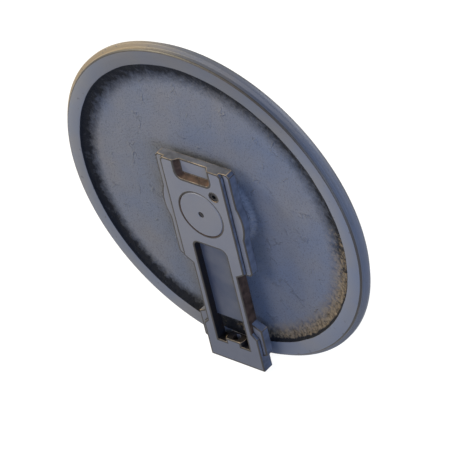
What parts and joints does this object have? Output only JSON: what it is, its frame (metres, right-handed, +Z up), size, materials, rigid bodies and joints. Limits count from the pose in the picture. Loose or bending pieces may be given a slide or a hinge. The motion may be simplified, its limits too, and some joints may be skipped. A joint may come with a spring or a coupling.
{
  "type": "excavator front idler",
  "caption": "Track idler: a dished cast wheel with a centre flange that spins on a fixed shaft between yoke brackets, with plain bushes and floating seals inside the hub.",
  "frame": {"origin": "centre of the wheel: on its axis, in its middle plane", "axes": "+Y along the wheel axis, -Y towards the viewer's side of the picture, +Z up away from the bracket tails"},
  "size_m": [0.5619, 0.072, 0.569],
  "materials": {
    "wheel_paint": "semi-gloss dark blue-grey paint on a rough casting, machined rim faces",
    "bracket_paint": "semi-gloss dark blue-grey paint",
    "shaft_steel": "turned steel, painted over on its end faces",
    "bush_bronze": "turned bronze",
    "seal_rubber": "matt nitrile rubber",
    "seal_steel": "lapped steel",
    "pin_steel": "ground steel",
    "plug_steel": "turned steel, thinly painted"
  },
  "bodies": {
    "frame": {"shaft": "shaft_steel", "oil_plug": "plug_steel", "near_bracket": "bracket_paint", "far_bracket": "bracket_paint", "near_lock_pin": "pin_steel", "far_lock_pin": "pin_steel", "near_seal_plug": "plug_steel", "far_seal_plug": "plug_steel", "near_shaft_o_ring": "seal_rubber", "far_shaft_o_ring": "seal_rubber", "near_fixed_seal_ring": "seal_steel", "far_fixed_seal_ring": "seal_steel", "near_fixed_seal_o_ring": "seal_rubber", "far_fixed_seal_o_ring": "seal_rubber"},
    "wheel": {"idler_wheel": "wheel_paint", "near_bush": "bush_bronze", "far_bush": "bush_bronze", "near_turning_seal_ring": "seal_steel", "far_turning_seal_ring": "seal_steel", "near_turning_seal_o_ring": "seal_rubber", "far_turning_seal_o_ring": "seal_rubber"}
  },
  "joints": [
    {"name": "wheel_spin", "type": "hinge", "parent": "frame", "child": "wheel", "pos_m": [0, 0, 0], "axis": [0, 1, 0], "continuous": true}
  ]
}
